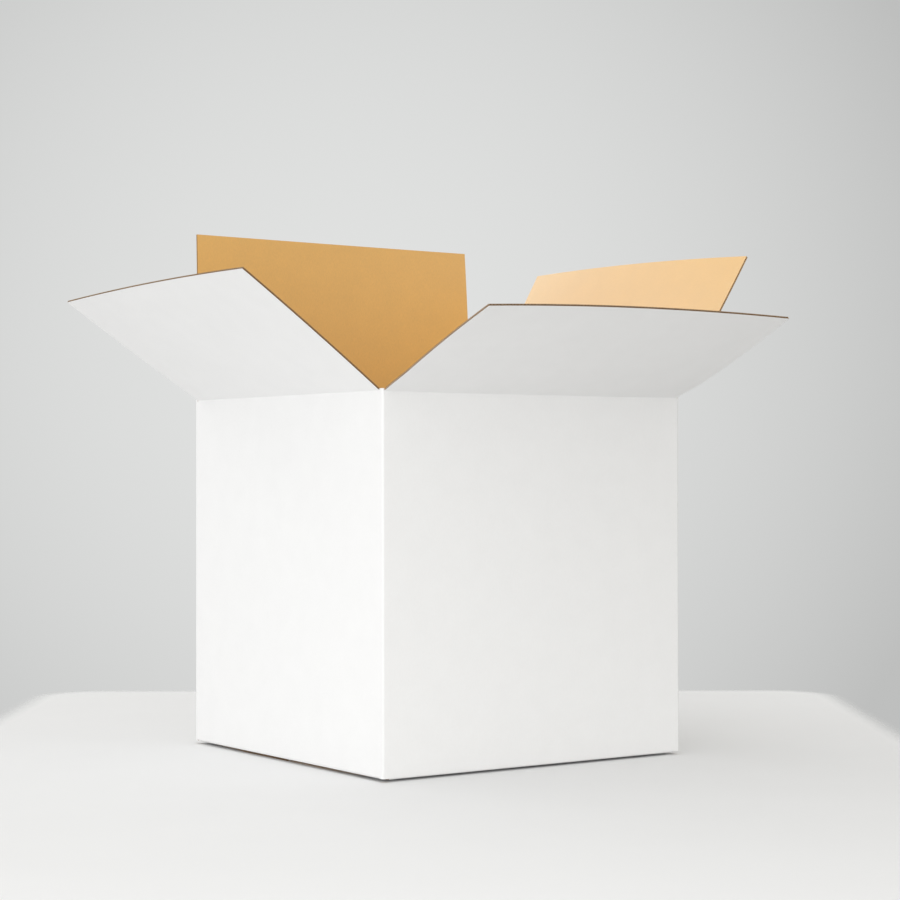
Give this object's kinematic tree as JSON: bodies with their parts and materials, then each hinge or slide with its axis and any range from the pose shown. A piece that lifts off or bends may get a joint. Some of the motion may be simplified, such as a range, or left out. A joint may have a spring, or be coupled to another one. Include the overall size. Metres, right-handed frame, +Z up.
{
  "type": "open folding carton",
  "caption": "Empty slotted carton of fine-flute corrugated board, white outside and brown inside, standing open with its top flaps folded out.",
  "frame": {"origin": "middle of the base, on the surface that the carton stands on", "axes": "+Z up; -Y the front wall and +Y the back wall, which the outer bottom flaps belong to; +X the right wall and -X the left wall, whose top flaps close last"},
  "size_m": [0.5122, 0.4547, 0.4579],
  "materials": {
    "board": "fine-flute corrugated board, matt white paper outside and brown kraft inside, with bare cut edges",
    "outer_liner": "smooth white paper, matt, with a faint mottle",
    "inner_liner": "brown kraft liner, matt, with fine fibres, and the same paper in the flutes"
  },
  "bodies": {
    "carton": {"carton_sheet": "board"},
    "front_top_flap": {"front_flap": "board"},
    "back_top_flap": {"back_flap": "board"},
    "left_top_flap": {"left_flap": "board"},
    "right_top_flap": {"right_flap": "board"}
  },
  "joints": [
    {"name": "front_crease", "type": "hinge", "parent": "carton", "child": "front_top_flap", "pos_m": [0, -0.15465, 0.306], "axis": [-1, 0, 0], "range_deg": [-110.4, 158.6]},
    {"name": "back_crease", "type": "hinge", "parent": "carton", "child": "back_top_flap", "pos_m": [0, 0.15465, 0.306], "axis": [1, 0, 0], "range_deg": [-174.7, 94.3]},
    {"name": "left_crease", "type": "hinge", "parent": "carton", "child": "left_top_flap", "pos_m": [-0.15265, 0, 0.3079], "axis": [0, 1, 0], "range_deg": [-121.5, 143.5]},
    {"name": "right_crease", "type": "hinge", "parent": "carton", "child": "right_top_flap", "pos_m": [0.15265, 0, 0.3079], "axis": [0, -1, 0], "range_deg": [-144.4, 120.6]}
  ]
}
